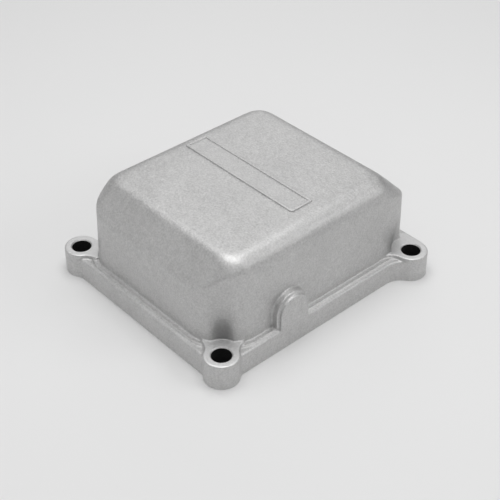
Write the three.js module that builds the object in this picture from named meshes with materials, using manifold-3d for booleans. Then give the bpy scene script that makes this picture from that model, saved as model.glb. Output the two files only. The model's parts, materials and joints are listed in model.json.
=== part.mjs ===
// Rocker cover of a small air-cooled generator engine: one aluminium casting with a rubber
// rim seal pressed into a groove in its sealing face. Millimetres, +Z up, sealing face on z = 0.
// It is drawn about the centre of the four bolt holes, then moved to the middle of its own outline.
import * as THREE from "three";
import { mergeVertices } from "three/addons/utils/BufferGeometryUtils.js";
import Module from "manifold-3d";

// ---- driving dimensions ----
const holeX = 37.3;           // two opposite bolt holes, half pitch along x
const holeWideX = 41.3;       // the other two stand further out
const holeY = 44.1;
const holeR = 3.5;
const earR = 6.35;
const earTop = 9.9;
const earCast = 10.2;         // as-cast height left outside the spot face
const spotR = 6.9;
const fluteR = 7.6;           // clearance for the screw head, cast into the wall above each ear
const fluteTopR = 6.1;
const fluteTopZ = 22.5;

const flangeX0 = -40.9;
const flangeX1 = 41.25;
const flangeY0 = -48.5;
const flangeY1 = 52.5;        // the box stands further out on this side, past the ears
const flangeSweep = 20;       // round from the +y side into the ears
const earSideY = 50.75;       // ear tops on the +y side
const flangeTop = 8.45;
const flangeEdgeR = 0.8;
const sideDraft = 0.02;       // rise over run of the drafted sides

const bodyX0 = -36.9;         // foot of the box walls, at the ledge
const bodyX1 = 37.6;
const bodyY0 = -44.7;
const bodyY1 = 48.6;
const bodyDraft = 0.026;
const footRadii = [10.5, 22, 10.5, 16]; // upright corners ++, -+, --, +-
const creaseX = 34.4;         // height where the upper slope starts, +-x sides
const creaseY = 29.0;
const topZ = 41.4;
const slopeX0 = 1.6;          // how far each wall leans in above its crease
const slopeX1 = 1.6;
const slopeY0 = 8.1;
const slopeY1 = 12;
const topRoundX = 6.4;         // rounding of the top edge, +-x sides
const topRoundY = 5;
const topCorner = 7.6;

const wall = 3;
const cavityRadii = [14, 20.5, 11, 16];
const cavityRoundX = 3.6;
const cavityRoundY = 3;

const padY = -14.5;           // blank gauge pad on the +x wall
const padR = 6.3;
const padCentreZ = 14.1;
const padStep = 1.3;
const padStepR = 7.2;

const ledgeStep = 0.55;       // inner strip of the ledge stands this much higher
const ledgeStepW = 1.9;

const panelX0 = -29.5;        // plain raised panel on the top
const panelX1 = 26.6;
const panelY0 = -3.2;
const panelY1 = 7;
const panelRaise = 0.6;
const panelRim = 1.3;
const panelRound = 1.2;

const grooveIn = 3.4;         // groove centreline inside the flange side
const grooveW = 2.4;
const grooveDeep = 2.1;
const grooveRadii = [15.5, 24, 12, 20];
const sealGap = 0.3;

const wasm = await Module();
wasm.setup();

// ---- small geometry helpers ----
const asSolid = (geometry) => {
  let bare = geometry.clone();
  bare.deleteAttribute("normal");
  bare.deleteAttribute("uv");
  bare = mergeVertices(bare, 1e-4);
  const mesh = new wasm.Mesh({
    numProp: 3,
    vertProperties: Float32Array.from(bare.attributes.position.array),
    triVerts: Uint32Array.from(bare.index.array),
  });
  return new wasm.Manifold(mesh);
};

const arc = (cx, cy, r, from, to, steps) =>
  new THREE.ArcCurve(cx, cy, r, from, to, to < from).getPoints(steps);

// rounded rectangle, counter-clockwise from the +x side; radii [++, -+, --, +-]
const roundRect = (x0, x1, y0, y1, radii, steps = 10) => {
  const q = Math.PI / 2;
  const [a, b, c, d] = radii;
  return [
    ...arc(x1 - a, y1 - a, a, 0, q, steps),
    ...arc(x0 + b, y1 - b, b, q, 2 * q, steps),
    ...arc(x0 + c, y0 + c, c, 2 * q, 3 * q, steps),
    ...arc(x1 - d, y0 + d, d, 3 * q, 4 * q, steps),
  ];
};

// a closed body through outlines of equal length, each { z, points }, bottom to top
const loft = (rings) => {
  const n = rings[0].points.length;
  const position = [];
  const index = [];
  for (const ring of rings) {
    for (const point of ring.points) position.push(point.x, point.y, ring.z);
  }
  for (let k = 0; k + 1 < rings.length; k++) {
    for (let i = 0; i < n; i++) {
      const a = k * n + i;
      const b = k * n + ((i + 1) % n);
      index.push(a, b, b + n);
      index.push(a, b + n, a + n);
    }
  }
  const top = (rings.length - 1) * n;
  for (const [a, b, c] of THREE.ShapeUtils.triangulateShape(rings[0].points, [])) {
    index.push(a, c, b);
  }
  for (const [a, b, c] of THREE.ShapeUtils.triangulateShape(rings[rings.length - 1].points, [])) {
    index.push(top + a, top + b, top + c);
  }
  const geometry = new THREE.BufferGeometry();
  geometry.setAttribute("position", new THREE.Float32BufferAttribute(position, 3));
  geometry.setIndex(index);
  return asSolid(geometry);
};

const extruded = (points, depth) =>
  new THREE.ExtrudeGeometry(new THREE.Shape(points), { depth, bevelEnabled: false });

const prism = (points, z0, z1) => asSolid(extruded(points, z1 - z0).translate(0, 0, z0));

const cone = (cx, cy, r0, r1, z0, z1, steps = 40) => {
  const geometry = new THREE.CylinderGeometry(r1, r0, z1 - z0, steps);
  geometry.rotateX(Math.PI / 2);
  return asSolid(geometry.translate(cx, cy, (z0 + z1) / 2));
};

// ---- the four corners ----
// sign pair, hole position, how far the flange and the box reach there and the blends of the flange
const corners = [
  { sx: 1, sy: 1, x: holeWideX, flange: [flangeX1, flangeY1], body: [bodyX1, bodyY1], blend: [8, 5] },
  { sx: -1, sy: 1, x: holeX, flange: [-flangeX0, flangeY1], body: [-bodyX0, bodyY1], blend: [3, 3] },
  { sx: -1, sy: -1, x: holeWideX, flange: [-flangeX0, -flangeY0], body: [-bodyX0, -bodyY0],
    blend: [8, 5] },
  { sx: 1, sy: -1, x: holeX, flange: [flangeX1, -flangeY0], body: [bodyX1, -bodyY0], blend: [3, 3] },
];

const placed = (corner, points) => {
  const out = points.map((p) => new THREE.Vector2(p.x * corner.sx, p.y * corner.sy));
  if (corner.sx * corner.sy < 0) out.reverse();
  return out;
};

// ear outline in its own quadrant: concave blend from the x side, round nose, then a concave blend
// into the y side, or a long sweep where that side stands past the nose
const earCurve = (corner, sideX, sideY, r, blendX, blendY, sweep) => {
  const ax = sideX + blendX;
  const ay = holeY - Math.sqrt((r + blendX) ** 2 - (ax - corner.x) ** 2);
  const fromA = Math.atan2(holeY - ay, corner.x - ax);
  const noseA = Math.atan2(ay - holeY, ax - corner.x);
  const start = arc(ax, ay, blendX, Math.PI, fromA, 7);
  if (sideY >= holeY + r) {
    const oy = sideY - sweep;
    const ox = corner.x - Math.sqrt((sweep - r) ** 2 - (oy - holeY) ** 2);
    const turn = Math.atan2(holeY - oy, corner.x - ox);
    const nose = arc(corner.x, holeY, r, noseA, turn, 22).slice(1, -1);
    return [...start, ...nose, ...arc(ox, oy, sweep, turn, Math.PI / 2, 7)];
  }
  const by = sideY + blendY;
  const bx = corner.x - Math.sqrt((r + blendY) ** 2 - (by - holeY) ** 2);
  const fromB = Math.atan2(holeY - by, corner.x - bx);
  const noseB = Math.atan2(by - holeY, bx - corner.x);
  const nose = arc(corner.x, holeY, r, noseA, noseB, 22).slice(1, -1);
  return [...start, ...nose, ...arc(bx, by, blendY, fromB, -Math.PI / 2, 7)];
};

const flangeOutline = (inset) => {
  const points = [];
  for (const corner of corners) {
    const [sideX, sideY] = corner.flange;
    const [blendX, blendY] = corner.blend;
    const curve = earCurve(corner, sideX - inset, sideY - inset, earR - inset, blendX + inset,
      blendY + inset, flangeSweep - inset);
    points.push(...placed(corner, curve));
  }
  return points;
};

const earPlate = (corner, z0, z1) => {
  const [sideX, sideY] = corner.body;
  const far = corner.sy > 0;
  const ring = (z) => {
    const inset = z * sideDraft - 0.03;
    const curve = earCurve(corner, sideX, far ? earSideY - inset : sideY, earR - inset, 5.2, 5.2,
      flangeSweep - inset);
    const end = curve[curve.length - 1];
    const inner = far
      ? [
        new THREE.Vector2(corner.x - 9.5, end.y),
        new THREE.Vector2(corner.x - 12.5, end.y - 0.9),
        new THREE.Vector2(corner.x - 15, sideY - 1.2),
      ]
      : [new THREE.Vector2(end.x, sideY - 6)];
    inner.push(new THREE.Vector2(sideX - 14, sideY - 16), new THREE.Vector2(sideX - 6, curve[0].y));
    return { z, points: placed(corner, [...curve, ...inner]) };
  };
  return loft([ring(z0), ring(z1)]);
};

// ---- box body ----
// inward lean at height z for a wall that turns at crease, leans by slope and rounds into the top
const lean = (z, crease, slope, top, round) => {
  const angle = Math.atan2(top - crease, slope);
  const reach = round * Math.tan(angle / 2);
  if (z <= top - round + round * Math.cos(angle)) return (slope * (z - crease)) / (top - crease);
  return slope + reach - Math.sqrt(Math.max(0, round ** 2 - (z - top + round) ** 2));
};

const boxBody = ({ inset, radii, draft, cx, cy, top, roundX, roundY, corner, z0 }) => {
  const x0 = bodyX0 + inset;
  const x1 = bodyX1 - inset;
  const y0 = bodyY0 + inset;
  const y1 = bodyY1 - inset;
  const foot = (z) => {
    const d = (z - flangeTop) * draft;
    return { z, points: roundRect(x0 + d, x1 - d, y0 + d, y1 - d, radii, 12) };
  };
  const lower = loft([foot(z0), foot(top + 5)]);
  const dx = (cx - flangeTop) * draft;
  const dy = (cy - flangeTop) * draft;
  const ring = (z) => {
    const sideX = (slope) => lean(z, cx, slope, top, roundX);
    const sideY = (slope) => lean(z, cy, slope, top, roundY);
    const past = Math.max(0, sideX(slopeX1) - (slopeX1 * (z - cx)) / (top - cx));
    const r = Math.max(corner - 0.9 * past, 1.6);
    return { z, points: roundRect(x0 + dx + sideX(slopeX0), x1 - dx - sideX(slopeX1),
      y0 + dy + sideY(slopeY0), y1 - dy - sideY(slopeY1), [r, r, r, r], 9) };
  };
  const levels = [z0];
  for (let i = 7; i >= 0; i--) levels.push(top - roundX * (1 - Math.cos((i * 11 * Math.PI) / 180)));
  const upper = loft(levels.map(ring));
  return lower.intersect(upper);
};

let cover = boxBody({
  inset: 0, radii: footRadii, draft: bodyDraft, cx: creaseX, cy: creaseY, top: topZ,
  roundX: topRoundX, roundY: topRoundY, corner: topCorner, z0: 1,
});

// ---- flange, ears, pad and ledge strip ----
const flangeRings = [{ z: 0, points: flangeOutline(0) }];
for (let i = 0; i <= 4; i++) {
  const a = (i * Math.PI) / 8;
  const z = flangeTop - flangeEdgeR + flangeEdgeR * Math.sin(a);
  const inset = z * sideDraft + flangeEdgeR * (1 - Math.cos(a));
  flangeRings.push({ z, points: flangeOutline(inset) });
}
cover = cover.add(loft(flangeRings));

cover = cover.add(prism(roundRect(bodyX0 - ledgeStepW, bodyX1 + ledgeStepW, bodyY0 - ledgeStepW,
  bodyY1 + ledgeStepW, footRadii.map((r) => r + ledgeStepW * 0.6), 10), 2, flangeTop + ledgeStep));

for (const corner of corners) {
  cover = cover.add(earPlate(corner, 0.5, earCast));
}

// an outline drawn in y and z, pushed along x
const alongX = (points, x0, x1) => {
  const turn = new THREE.Matrix4().makeBasis(
    new THREE.Vector3(0, 1, 0), new THREE.Vector3(0, 0, 1), new THREE.Vector3(1, 0, 0));
  return asSolid(extruded(points, x1 - x0).applyMatrix4(turn).translate(x0, 0, 0));
};
const padOutline = (r) => [
  new THREE.Vector2(padY - r, 1.2),
  new THREE.Vector2(padY + r, 1.2),
  ...arc(padY, padCentreZ, r, 0, Math.PI, 24),
];
const padFace = flangeX1 - flangeTop * sideDraft * 0.5;
cover = cover.add(alongX(padOutline(padR), bodyX1 - 2, padFace));
cover = cover.add(alongX(padOutline(padStepR), bodyX1 - 2, padFace - padStep));

// ---- plain raised panel on the top ----
const panel = (grow, r) => roundRect(panelX0 - grow, panelX1 + grow, panelY0 - grow,
  panelY1 + grow, [r, r, r, r], 4);
const panelBody = loft([
  { z: topZ - 1, points: panel(0.1, panelRound + 0.1) },
  { z: topZ + panelRaise, points: panel(0, panelRound) },
]);
const panelField = loft([
  { z: topZ + 0.12, points: panel(-panelRim - 0.1, 0.6) },
  { z: topZ + 2, points: panel(-panelRim, 0.7) },
]);
cover = cover.add(panelBody.subtract(panelField));

// ---- hollow inside ----
const cavity = boxBody({
  inset: wall, radii: cavityRadii, draft: bodyDraft, cx: creaseX - 1.4, cy: creaseY - 1.7,
  top: topZ - wall, roundX: cavityRoundX, roundY: cavityRoundY, corner: topCorner - 1.4, z0: -5,
});
cover = cover.subtract(cavity);

// ---- spot faces, flutes and bolt holes ----
for (const corner of corners) {
  const x = corner.x * corner.sx;
  const y = holeY * corner.sy;
  cover = cover.subtract(cone(x, y, fluteR, fluteTopR, earCast, fluteTopZ, 56));
  cover = cover.subtract(cone(x, y, spotR, spotR, earTop, earCast + 1, 56));
  cover = cover.subtract(cone(x, y, holeR, holeR, -2, earTop + 4, 40));
  cover = cover.subtract(cone(x, y, holeR - 0.2, holeR + 0.75, earTop - 0.55, earTop + 0.4, 40));
}

// ---- seal groove and seal ----
const ringBody = (half, z0, z1) => {
  const outline = (grow) => {
    const g = grow - grooveIn;
    return roundRect(flangeX0 - g, flangeX1 + g, flangeY0 - g, flangeY1 + g,
      grooveRadii.map((r) => r + grow), 12);
  };
  return prism(outline(half), z0, z1).subtract(prism(outline(-half), z0 - 1, z1 + 1));
};
cover = cover.subtract(ringBody(grooveW / 2, -1, grooveDeep));
const seal = ringBody(grooveW / 2 - sealGap, 0, grooveDeep - sealGap);

// ---- named meshes ----
const middleY = (flangeY1 - holeY - earR) / 2;
const toMesh = (body, name, colour, roughness, metalness) => {
  const raw = body.translate([0, -middleY, 0]).getMesh();
  const geometry = new THREE.BufferGeometry();
  geometry.setAttribute("position", new THREE.BufferAttribute(raw.vertProperties, 3));
  geometry.setIndex(new THREE.BufferAttribute(raw.triVerts, 1));
  geometry.computeVertexNormals();
  const material = new THREE.MeshStandardMaterial({ color: colour, roughness, metalness });
  const mesh = new THREE.Mesh(geometry, material);
  mesh.name = name;
  return mesh;
};

const part = new THREE.Group();
part.name = "rocker_cover";
part.add(toMesh(cover, "cover_casting", 0xa4a5a6, 0.5, 0.9));
part.add(toMesh(seal, "rim_seal", 0x17181a, 0.7, 0));

export default part;
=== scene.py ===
import json
import math

import bmesh
import bpy
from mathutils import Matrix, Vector


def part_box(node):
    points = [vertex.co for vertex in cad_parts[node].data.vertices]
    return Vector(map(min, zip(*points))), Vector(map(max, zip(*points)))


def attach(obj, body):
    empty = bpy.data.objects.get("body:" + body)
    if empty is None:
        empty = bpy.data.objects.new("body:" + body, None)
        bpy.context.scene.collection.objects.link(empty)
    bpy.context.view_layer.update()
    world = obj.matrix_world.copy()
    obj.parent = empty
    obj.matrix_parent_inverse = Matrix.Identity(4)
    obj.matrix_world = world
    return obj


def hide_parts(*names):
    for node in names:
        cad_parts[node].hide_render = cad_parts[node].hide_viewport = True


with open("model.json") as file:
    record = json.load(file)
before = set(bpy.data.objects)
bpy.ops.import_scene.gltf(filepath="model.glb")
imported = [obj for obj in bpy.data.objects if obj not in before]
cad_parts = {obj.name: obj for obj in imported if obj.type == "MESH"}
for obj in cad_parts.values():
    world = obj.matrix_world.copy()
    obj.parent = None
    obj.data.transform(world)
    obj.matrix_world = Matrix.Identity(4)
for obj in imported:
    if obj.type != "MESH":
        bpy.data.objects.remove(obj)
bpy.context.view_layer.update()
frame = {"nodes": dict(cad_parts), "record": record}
mm = 0.001


class Wire:
    # one socket that can be used in a plain expression, each operator adds its Math node
    def __init__(self, paint, socket):
        self.paint = paint
        self.socket = socket

    def math(self, operation, a, b=0.0, clamp=False):
        return self.paint.node(
            "ShaderNodeMath", {"operation": operation, "use_clamp": clamp}, {0: a, 1: b})

    def __add__(self, other):
        return self.math("ADD", self, other)

    __radd__ = __add__

    def __sub__(self, other):
        return self.math("SUBTRACT", self, other)

    def __rsub__(self, other):
        return self.math("SUBTRACT", other, self)

    def __mul__(self, other):
        return self.math("MULTIPLY", self, other)

    __rmul__ = __mul__

    def clamped(self):
        return self.math("ADD", self, 0.0, True)

    def sqrt(self):
        return self.math("SQRT", self)

    def sin(self):
        return self.math("SINE", self)

    def absolute(self):
        return self.math("ABSOLUTE", self)

    def sign(self):
        return self.math("SIGN", self)

    def between(self, low, high):
        # 0 below low, 1 above high, smooth in between
        return self.paint.node(
            "ShaderNodeMapRange", {"interpolation_type": "SMOOTHSTEP"},
            {"Value": self, "From Min": low, "From Max": high, "To Min": 0.0, "To Max": 1.0})


class Paint:
    # node tree of one material, or of the sky
    def __init__(self, owner, coordinates="Object"):
        self.owner = owner
        owner.use_nodes = True
        self.tree = owner.node_tree
        self.tree.nodes.clear()
        self.place = self.node("ShaderNodeTexCoord", {}, {}, coordinates)

    def node(self, kind, settings, sockets, output=0):
        made = self.tree.nodes.new(kind)
        for key, value in settings.items():
            setattr(made, key, value)
        for key, value in sockets.items():
            if isinstance(value, Wire):
                self.tree.links.new(value.socket, made.inputs[key])
            else:
                made.inputs[key].default_value = value
        return Wire(self, made.outputs[output]) if made.outputs else None

    def noise(self, size, detail=2.0, roughness=0.5):
        # size is the width of one blotch in metres
        return self.node(
            "ShaderNodeTexNoise", {},
            {"Vector": self.place, "Scale": 1 / size, "Detail": detail,
             "Roughness": roughness})

    def cells(self, size):
        return self.node(
            "ShaderNodeTexVoronoi", {}, {"Vector": self.place, "Scale": 1 / size}, "Distance")

    def blend(self, factor, a, b):
        # colours mix through a Mix node
        return self.node("ShaderNodeMix", {"data_type": "RGBA"}, {0: factor, 6: a, 7: b}, 2)

    def axes(self):
        return [self.node("ShaderNodeSeparateXYZ", {}, {0: self.place}, i) for i in range(3)]

    def closeness(self, distance, inside=False):
        # 1 in tight corners, or on sharp edges when it looks from inside the metal
        openness = self.node(
            "ShaderNodeAmbientOcclusion",
            {"samples": 8, "only_local": True, "inside": inside}, {"Distance": distance}, "AO")
        return 1 - openness

    def bump(self, height, distance, strength):
        return self.node(
            "ShaderNodeBump", {},
            {"Strength": strength, "Distance": distance, "Height": height})

    def finish(self, **sockets):
        shader = self.node(
            "ShaderNodeBsdfPrincipled", {},
            {key.replace("_", " "): value for key, value in sockets.items()})
        self.node("ShaderNodeOutputMaterial", {}, {"Surface": shader})
        return self.owner


def material(name):
    return Paint(bpy.data.materials.new(name))


def grey(value, warmth=0.0):
    return (value * (1 + warmth), value, value * (1 - warmth), 1)


# the cover casting
casting = {
    "voxel": 0.31 * mm,
    "topZ": 41.4 * mm,
    "smooth": [                  # rounds of smoothing that start between two heights in mm
        (2, -9, -8),
        (16, 20, 27),
        (130, 36, 39.5),
    ],
    "fluteSmooth": 60,           # rounds of smoothing in the hollows above the ears
    "faceLimit": 170000,
    "earTop": 9.9 * mm,
    "earCast": 10.2 * mm,
    "ledgeTop": 8.45 * mm,
    "ledgeFall": 0.5 * mm,       # how far the ledge's outer edge hangs down
    "holeRadius": 3.5 * mm,
    "chamfer": 0.4 * mm,
    "seatOut": 5.2 * mm,         # from a hole's centre out to its screw seat mark
    "under": 1.5 * mm,           # metal below the sealing face until it is trimmed off
    "plugRadius": 5 * mm,        # holes are filled this wide before the remesh
    "fluteFrom": 10.8 * mm,      # height where the hollows above the ears start
    "fluteTop": 27 * mm,
    "fluteReach": 12 * mm,       # how far from a hole's axis a hollow goes
    "fluteFade": 3 * mm,
    "trim": 5 * mm,              # margin of the block that trims the sealing face
    "near": 0.01 * mm,           # heights this close are the same height
    "boreSteps": 96,
    "sharpAngle": 38,            # degrees
}


def newObject(name, mesh):
    made = bpy.data.objects.new(name, mesh)
    bpy.context.scene.collection.objects.link(made)
    return made


def meshObject(name, build):
    shape = bmesh.new()
    build(shape)
    bmesh.ops.recalc_face_normals(shape, faces=shape.faces[:])
    mesh = bpy.data.meshes.new(name)
    shape.to_mesh(mesh)
    shape.free()
    return newObject(name, mesh)


def applyAll(thing):
    # the object's modifiers become its mesh
    depsgraph = bpy.context.evaluated_depsgraph_get()
    mesh = bpy.data.meshes.new_from_object(thing.evaluated_get(depsgraph))
    old = thing.data
    thing.modifiers.clear()
    thing.data = mesh
    bpy.data.meshes.remove(old)
    return thing


def turned(shape, rings, steps):
    # closed body of revolution about a vertical line; rings are (x, y, radius, z) bottom to top
    loops = []
    for x, y, radius, z in rings:
        loops.append([
            shape.verts.new((x + radius * math.cos(2 * math.pi * i / steps),
                             y + radius * math.sin(2 * math.pi * i / steps), z))
            for i in range(steps)])
    for low, high in zip(loops, loops[1:]):
        for i in range(steps):
            j = (i + 1) % steps
            shape.faces.new((low[i], low[j], high[j], high[i]))
    shape.faces.new(list(reversed(loops[0])))
    shape.faces.new(loops[-1])


def slab(shape, low, high):
    made = bmesh.ops.create_cube(shape, size=1.0)
    centre = (Vector(low) + Vector(high)) / 2
    size = Vector(high) - Vector(low)
    bmesh.ops.scale(shape, vec=size, verts=made["verts"])
    bmesh.ops.translate(shape, vec=centre, verts=made["verts"])


def holeCentres():
    found = []
    for mount in frame["record"]["mounts"]:
        if mount["name"].startswith("screw_seat"):
            x, y, z = mount["pos_m"]
            found.append((x - math.copysign(casting["seatOut"], x), y))
    return found


def cut(thing, tool, operation="DIFFERENCE"):
    modifier = thing.modifiers.new("cut", "BOOLEAN")
    modifier.operation = operation
    modifier.solver = "MANIFOLD"
    modifier.object = tool
    applyAll(thing)
    bpy.data.objects.remove(tool)


def join(thing, tool):
    cut(thing, tool, "UNION")


def smoothed(thing, rounds, strength):
    # smoothing whose strength, 0 to 1, depends on the place
    group = thing.vertex_groups.new(name="strength")
    for vertex in thing.data.vertices:
        value = strength(vertex.co)
        if value > 0:
            group.add([vertex.index], min(value, 1.0), "REPLACE")
    modifier = thing.modifiers.new("smooth", "SMOOTH")
    modifier.factor = 0.5
    modifier.iterations = rounds
    modifier.vertex_group = group.name


# plain raised frame on the top, with a lower field inside
panel = {
    "low": (-29.5, -4.225),      # corners in mm
    "high": (26.6, 5.975),
    "raise": 0.58,
    "rim": 1.35,
    "field": 0.14,
    "round": 1.1,
    "lean": 0.14,                # how much narrower the rim is at its top
    "edge": 0.1,
    "sunk": 0.8,                 # how far the piece goes down into the top
    "leastRound": 0.25,
}


def roundedOutline(x0, x1, y0, y1, radius, steps=6):
    points = []
    for x, y, start in ((x1 - radius, y1 - radius, 0), (x0 + radius, y1 - radius, 90),
                        (x0 + radius, y0 + radius, 180), (x1 - radius, y0 + radius, 270)):
        for i in range(steps + 1):
            angle = math.radians(start + 90 * i / steps)
            points.append((x + radius * math.cos(angle), y + radius * math.sin(angle)))
    return points


def addPanel(cover):
    (x0, y0), (x1, y1) = panel["low"], panel["high"]
    base = casting["topZ"] / mm
    top, rim, lean, edge = base + panel["raise"], panel["rim"], panel["lean"], panel["edge"]
    # inset from the outside and height, going up the outer side, over the rim and into the field
    lower, upper, soft = lean * 0.5, lean * 0.6, edge * 0.3
    section = [(-0.3, base - panel["sunk"]), (-lower, base), (upper, top - edge),
               (upper + soft, top - soft), (upper + edge, top),
               (rim - upper - edge, top), (rim - upper - soft, top - soft),
               (rim - upper, top - edge), (rim + lower, base + panel["field"])]

    def build(shape):
        rings = []
        for inset, z in section:
            radius = max(panel["leastRound"], panel["round"] - inset)
            rings.append([shape.verts.new(Vector((x, y, z)) * mm) for x, y in roundedOutline(
                x0 + inset, x1 - inset, y0 + inset, y1 - inset, radius)])
        for low, high in zip(rings, rings[1:]):
            for i in range(len(low)):
                j = (i + 1) % len(low)
                shape.faces.new((low[i], low[j], high[j], high[i]))
        shape.faces.new(rings[-1])
        shape.faces.new(list(reversed(rings[0])))
    join(cover, meshObject("panelRim", build))


def buildCasting():
    values = casting
    holes = holeCentres()
    source = frame["nodes"]["cover_casting"].data.copy()
    near = values["near"]
    foot = {(round(v.co.x, 5), round(v.co.y, 5)) for v in source.vertices if v.co.z < near}
    for vertex in source.vertices:
        spot = vertex.co
        if abs(spot.z - values["earCast"]) < near:           # ears flat all over
            spot.z = values["earTop"]
        elif abs(spot.z - values["ledgeTop"]) < near:        # ledge hangs down at its outer edge
            if (round(spot.x, 5), round(spot.y, 5)) in foot:
                spot.z -= values["ledgeFall"]
        elif spot.z < near:              # room under the sealing face, trimmed off again later
            spot.z = -values["under"]
        spot.z = min(spot.z, values["topZ"])                 # the raised panel comes back crisp
    cover = newObject("coverCasting", source)
    cover.data.materials.clear()

    def plugs(shape):
        shape.from_mesh(cover.data)
        bmesh.ops.remove_doubles(shape, verts=shape.verts[:], dist=0.5e-6)
        for x, y in holes:
            turned(shape, [(x, y, values["plugRadius"], -values["under"]),
                           (x, y, values["plugRadius"], values["earTop"])], 48)
    filled = meshObject("filled", plugs)
    bpy.data.objects.remove(cover)
    cover = filled
    cover.name = "coverCasting"

    remesh = cover.modifiers.new("remesh", "REMESH")
    remesh.mode = "VOXEL"
    remesh.voxel_size = values["voxel"]
    remesh.use_smooth_shade = True
    applyAll(cover)
    print("casting remeshed", len(cover.data.polygons))

    for rounds, fromZ, toZ in values["smooth"]:
        smoothed(cover, rounds, lambda spot: (spot.z / mm - fromZ) / (toZ - fromZ))

    def fluteStrength(spot):
        up = (spot.z - values["fluteFrom"]) / values["fluteFade"]
        if up <= 0 or spot.z > values["fluteTop"]:
            return 0
        reach = min(math.hypot(spot.x - x, spot.y - y) for x, y in holes)
        return min(up, 1) * min(1, (values["fluteReach"] - reach) / values["fluteFade"])
    smoothed(cover, values["fluteSmooth"], fluteStrength)
    thin = cover.modifiers.new("thin", "DECIMATE")
    thin.ratio = min(1.0, values["faceLimit"] / (2 * len(cover.data.polygons)))
    applyAll(cover)
    cover.vertex_groups.clear()
    print("casting smoothed", len(cover.data.polygons))

    low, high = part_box("cover_casting")
    trim = values["trim"]
    cut(cover, meshObject("under", lambda shape: slab(
        shape, (low.x - trim, low.y - trim, -4 * mm), (high.x + trim, high.y + trim, 0))))
    top, radius, chamfer = values["earTop"], values["holeRadius"], values["chamfer"]
    past = 0.3 * chamfer                 # the tool stands past both ends of the hole
    for x, y in holes:
        cut(cover, meshObject("bore", lambda shape: turned(shape, [
            (x, y, radius, -1 * mm),
            (x, y, radius, top - chamfer),
            (x, y, radius + chamfer + past, top + past)], values["boreSteps"])))
    addPanel(cover)
    print("casting machined", len(cover.data.polygons))
    return cover, holes


def holeOffsets(x, y, holes):
    # how far a place is from the nearest hole's axis across and along the cover; the holes lie
    # at two widths
    middle = sum(abs(hole[0]) for hole in holes) / len(holes)
    offset = max(abs(hole[0]) for hole in holes) - middle
    centreY = sum(hole[1] for hole in holes) / len(holes)
    reach = (max(hole[1] for hole in holes) - min(hole[1] for hole in holes)) / 2
    fromY = y - centreY
    away = x.absolute() - (x * fromY).sign() * offset - middle
    along = fromY.absolute() - reach
    return away, along


def holeReach(away, along):
    return (away * away + along * along).sqrt()


# blasted metal, sizes of its marks and how strongly each one shows
blasted = {
    "grain": 0.65 * mm,
    "mottle": 2.4 * mm,
    "cloud": 22 * mm,
    "peen": 0.6 * mm,
    "contrast": (1.5, 0.4, 0.3),         # of grain, mottle and cloud
    "dark": grey(0.42, 0.003),
    "bright": grey(0.74, 0.005),
    "seat": 0.5,                         # bare screw seats on the ears
    "seatGrey": grey(0.85),
    "seatReach": (9.5 * mm, 11 * mm),
    "seatRise": (9.72 * mm, 9.86 * mm),
    "seatFall": (9.94 * mm, 10.02 * mm),
    "edgeHighlight": 0.55,                        # painted highlight on sharp edges
    "edgeHighlightGrey": grey(0.92),
    "edgeHighlightWidth": 0.7 * mm,
    "edgeHighlightRange": (0.12, 0.5),
    "fluteShade": 0.58,                       # painted shade and painted reflection of the dark hole, in the hollow above each ear
    "fluteSide": (0.8 * mm, 5.8 * mm),
    "fluteReach": (9 * mm, 13 * mm),
    "fluteRise": (9.95 * mm, 10.4 * mm),
    "fluteFall": (11 * mm, 26 * mm),
    "corner": 0.7,                       # painted shade darkening the corners
    "cornerWidth": 1.7 * mm,
    "cornerRange": (0.25, 0.75),
    # colour of the painted shade in the corners and in the hollows above the ears
    "paintedShadeGrey": grey(0.12),
    "metallic": 0.8,
    "roughness": 0.52,
    "bump": 0.1 * mm,
}


def castPaint(holes):
    values = blasted
    paint = material("blastedAluminium")
    x, y, z = paint.axes()
    away, along = holeOffsets(x, y, holes)
    side = (away - along).absolute() * math.sqrt(0.5)     # off the diagonal through the hole
    reach = holeReach(away, along)
    grain = paint.noise(values["grain"], 3.0, 0.65)
    mottle = paint.noise(values["mottle"], 3.0, 0.55)
    cloud = paint.noise(values["cloud"], 2.0, 0.5)
    peen = paint.cells(values["peen"])
    byGrain, byMottle, byCloud = values["contrast"]
    light = (grain - 0.5) * byGrain + (mottle - 0.5) * byMottle + (cloud - 0.5) * byCloud + 0.5
    colour = paint.blend(light, values["dark"], values["bright"])
    seat = (1 - reach.between(*values["seatReach"])) * z.between(*values["seatRise"]) \
        * (1 - z.between(*values["seatFall"]))
    colour = paint.blend(seat * values["seat"], colour, values["seatGrey"])
    # painted highlight: sharp edges found by the inside occlusion are lightened
    edgeHighlight = paint.closeness(values["edgeHighlightWidth"], True).between(*values["edgeHighlightRange"])
    colour = paint.blend(edgeHighlight * values["edgeHighlight"], colour, values["edgeHighlightGrey"])
    # painted shade and painted reflection of the dark hole on the wall above each ear
    fluteShade = (1 - side.between(*values["fluteSide"])) \
        * (1 - reach.between(*values["fluteReach"])) \
        * z.between(*values["fluteRise"]) * (1 - z.between(*values["fluteFall"]))
    # painted shade: tight corners found by occlusion are darkened
    corner = paint.closeness(values["cornerWidth"]).between(*values["cornerRange"])
    paintedShade = (fluteShade * values["fluteShade"] + corner * values["corner"]).clamped()
    colour = paint.blend(paintedShade, colour, values["paintedShadeGrey"])
    rough = (grain - 0.5) * 0.5 + (cloud - 0.5) * 0.1 + paintedShade * 0.15 + values["roughness"]
    height = (grain * 0.7 + mottle * 0.4) + peen * 0.5
    return paint.finish(Base_Color=colour, Metallic=values["metallic"], Roughness=rough,
                        Normal=paint.bump(height, values["bump"], 1.0))


# turned metal of the sealing face
machined = {
    "ring": 0.34 * mm,                   # from one turning mark to the next
    "scratch": 0.5 * mm,
    "patch": 3.0 * mm,
    "dark": grey(0.52, 0.004),
    "bright": grey(0.78, 0.004),
    "metallic": 0.85,
    "roughness": 0.38,
    "bump": 0.014 * mm,
}


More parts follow.
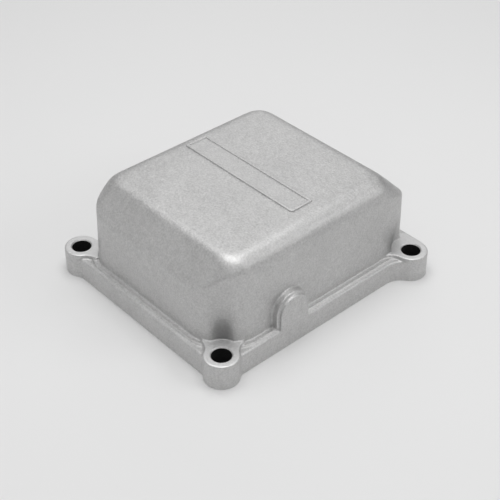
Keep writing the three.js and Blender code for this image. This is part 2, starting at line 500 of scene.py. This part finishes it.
def machinedPaint(holes):
    values = machined
    paint = material("machinedAluminium")
    x, y = paint.axes()[:2]
    radius = holeReach(*holeOffsets(x, y, holes))
    rings = (radius * (2 * math.pi / values["ring"])).sin() * 0.5 + 0.5
    scratch = paint.noise(values["scratch"], 3.0, 0.6)
    patch = paint.noise(values["patch"], 2.0, 0.5)
    colour = paint.blend(scratch * 0.6 + patch * 0.4, values["dark"], values["bright"])
    rough = scratch * 0.2 + patch * 0.15 + values["roughness"]
    return paint.finish(Base_Color=colour, Metallic=values["metallic"], Roughness=rough,
                        Normal=paint.bump(rings * 0.6 + scratch * 0.6, values["bump"], 0.8))


# near-black walls of the screw holes, a painted shade for the dark inside of the holes
bore = {
    "streak": 0.8 * mm,
    "dark": grey(0.004),
    "bright": grey(0.012),
    "metallic": 0.2,
    "roughness": 0.6,
    "bump": 0.02 * mm,
}


def boreShadePaint():
    values = bore
    paint = material("paintedBoreShade")
    streak = paint.noise(values["streak"], 3.0, 0.6)
    colour = paint.blend(streak, values["dark"], values["bright"])
    return paint.finish(Base_Color=colour, Metallic=values["metallic"],
                        Roughness=streak * 0.2 + values["roughness"],
                        Normal=paint.bump(streak, values["bump"], 0.6))


def dressCasting(cover, holes):
    mesh = cover.data
    mesh.materials.clear()
    for finish in (castPaint(holes), machinedPaint(holes), boreShadePaint()):
        mesh.materials.append(finish)
    top = casting["earTop"]
    for face in mesh.polygons:
        centre, normal = face.center, face.normal
        face.use_smooth = True
        face.material_index = 0
        if normal.z < -0.999 and centre.z < casting["near"]:
            face.material_index = 1
        nearest = min(math.hypot(centre.x - x, centre.y - y) for x, y in holes)
        # the bore walls take the near-black painted shade
        if nearest < casting["holeRadius"] * 1.02 and centre.z < top and abs(normal.z) < 0.2:
            face.material_index = 2
    mesh.set_sharp_from_angle(angle=math.radians(casting["sharpAngle"]))


cover, holes = buildCasting()
dressCasting(cover, holes)
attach(cover, "root")
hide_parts("cover_casting")
print("casting done")


# the seal in the rim
seal = {
    "halfWidth": 0.9 * mm,
    "height": 1.8 * mm,
    "round": 0.45 * mm,
    "rib": 0.18 * mm,
    "corners": [15.5, 24, 12, 20],     # centreline radii in mm: ++, -+, --, +-
    "cornerSteps": 24,
    "sideSteps": 30,
    "sideLength": 5 * mm,              # a straight stretch longer than this is divided
    "roundSteps": 4,
    "lipSteps": 16,
    "fine": 0.3 * mm,
    "bloom": 5 * mm,
    "dark": grey(0.012),
    "bright": grey(0.03),
    "roughness": 0.55,
    "bump": 0.02 * mm,
}


def sealLine(low, high):
    # centreline of the groove as points with their outward directions
    x0, x1 = low.x + seal["halfWidth"], high.x - seal["halfWidth"]
    y0, y1 = low.y + seal["halfWidth"], high.y - seal["halfWidth"]
    a, b, c, d = [r * mm for r in seal["corners"]]
    spots = [(x1 - a, y1 - a, a, 0), (x0 + b, y1 - b, b, 90),
             (x0 + c, y0 + c, c, 180), (x1 - d, y0 + d, d, 270)]
    line = []
    for x, y, radius, start in spots:
        for i in range(seal["cornerSteps"] + 1):
            angle = math.radians(start + 90 * i / seal["cornerSteps"])
            out = Vector((math.cos(angle), math.sin(angle), 0))
            line.append((Vector((x, y, 0)) + out * radius, out))
    full = []
    for (here, outHere), (there, outThere) in zip(line, line[1:] + line[:1]):
        full.append((here, outHere))
        if (there - here).length > seal["sideLength"]:
            for i in range(1, seal["sideSteps"]):
                t = i / seal["sideSteps"]
                full.append((here.lerp(there, t), outHere))
    return full


def sealProfile():
    # section seen along the seal: flat top in the groove, two ribs and a hollow on the lower lip
    half, height, r, rib = seal["halfWidth"], seal["height"], seal["round"], seal["rib"]
    steps = seal["roundSteps"]
    points = []
    for middle, start in ((half - r, 0), (-half + r, math.pi / 2)):
        for i in range(steps + 1):
            angle = start + math.pi / 2 * i / steps
            points.append((middle + r * math.cos(angle), height - r + r * math.sin(angle)))
    for i in range(seal["lipSteps"] + 1):
        t = i / seal["lipSteps"]
        across = -half + 2 * half * t
        lip = rib * (0.5 + 0.5 * math.cos(4 * math.pi * (t - 0.25)))
        edge = r * (1 - math.sqrt(max(0.0, 1 - (max(0.0, abs(across) - half + r) / r) ** 2)))
        points.append((across, rib - lip + edge))
    return points


def buildSeal():
    low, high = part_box("rim_seal")
    line, section = sealLine(low, high), sealProfile()

    def build(shape):
        rings = [[shape.verts.new(spot + out * u + Vector((0, 0, v))) for u, v in section]
                 for spot, out in line]
        count = len(section)
        for here, there in zip(rings, rings[1:] + rings[:1]):
            for i in range(count):
                j = (i + 1) % count
                shape.faces.new((here[i], here[j], there[j], there[i]))
    made = meshObject("rimSeal", build)
    for face in made.data.polygons:
        face.use_smooth = True
    return made


def rubberPaint():
    paint = material("sealRubber")
    fine = paint.noise(seal["fine"], 3.0, 0.6)
    bloom = paint.noise(seal["bloom"], 2.0, 0.5)
    colour = paint.blend(fine * 0.4 + bloom * 0.6, seal["dark"], seal["bright"])
    return paint.finish(Base_Color=colour, Metallic=0.0,
                        Roughness=bloom * 0.2 + seal["roughness"],
                        Normal=paint.bump(fine, seal["bump"], 0.7))


rubber = buildSeal()
rubber.data.materials.append(rubberPaint())
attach(rubber, "root")
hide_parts("rim_seal")
print("seal done")


# floor, lights and camera
studio = {
    "floorSize": 3.0,
    "floorGrey": 0.78,
    "floorTone": 0.01,           # how much the floor's grey wanders
    "floorDrop": 0.02 * mm,      # floor lies just under the sealing face
    "skyTop": 0.74,
    "skyEdge": 0.13,
    "skySeen": 0.8,              # plain backdrop behind the floor, which lights nothing
    "lights": [                  # name, power, width, place
        ("topBox", 1.9, 0.5, (-0.02, 0, 0.6)),
        ("rightBox", 0.55, 0.3, (0.45, 0.3, 0.34)),
        ("leftBox", 0.17, 0.3, (-0.3, -0.46, 0.17)),
        ("backBox", 0.2, 0.3, (-0.4, 0.38, 0.3)),
        ("cornerBox", 0.1, 0.14, (0.36, -0.35, 0.27)),
    ],
    "lightAim": (0, 0, 0.02),
    "cameraPlace": (0.240903, -0.215984, 0.259463),
    "cameraAim": (0.004368, -0.002909, 0.012199),
    "cameraWidth": 25.34,        # horizontal angle of view in degrees
}


def buildFloor():
    half = studio["floorSize"] / 2

    def build(shape):
        corners = [shape.verts.new((x, y, 0)) for x, y in
                   ((-half, -half), (half, -half), (half, half), (-half, half))]
        shape.faces.new(corners)
    floor = meshObject("studioFloor", build)
    floor.location.z = -studio["floorDrop"]
    paint = material("paleFloor")
    tone = paint.noise(0.4, 2.0, 0.5)
    middle, wander = studio["floorGrey"], studio["floorTone"]
    colour = paint.blend(tone, grey(middle - wander), grey(middle + wander))
    floor.data.materials.append(
        paint.finish(Base_Color=colour, Metallic=0.0, Roughness=0.9, Specular_IOR_Level=0.1))


def areaLight(name, power, width, place):
    light = bpy.data.lights.new(name, "AREA")
    light.shape = "DISK"
    light.energy = power
    light.size = width
    made = newObject(name, light)
    made.location = place
    aim = Vector(studio["lightAim"]) - Vector(place)
    made.rotation_euler = aim.to_track_quat("-Z", "Y").to_euler()


def buildSky():
    world = bpy.data.worlds.new("studioSky")
    bpy.context.scene.world = world
    paint = Paint(world, "Generated")
    up = paint.axes()[2].clamped()
    glow = up * (studio["skyTop"] - studio["skyEdge"]) + studio["skyEdge"]
    seen = paint.node("ShaderNodeLightPath", {}, {}, "Is Camera Ray")
    glow = glow * (1 - seen) + seen * studio["skySeen"]
    back = paint.node("ShaderNodeBackground", {}, {"Strength": glow})
    paint.node("ShaderNodeOutputWorld", {}, {"Surface": back})


def buildCamera():
    lens = bpy.data.cameras.new("studioCamera")
    lens.sensor_width = 36
    lens.angle = math.radians(studio["cameraWidth"])
    lens.clip_start = 0.01
    lens.clip_end = 20
    camera = newObject("studioCamera", lens)
    camera.location = studio["cameraPlace"]
    aim = Vector(studio["cameraAim"]) - Vector(studio["cameraPlace"])
    camera.rotation_euler = aim.to_track_quat("-Z", "Y").to_euler()
    bpy.context.scene.camera = camera


buildFloor()
buildSky()
for name, power, width, place in studio["lights"]:
    areaLight(name, power, width, place)
buildCamera()
bpy.context.scene.view_settings.view_transform = "Standard"
print("studio done")
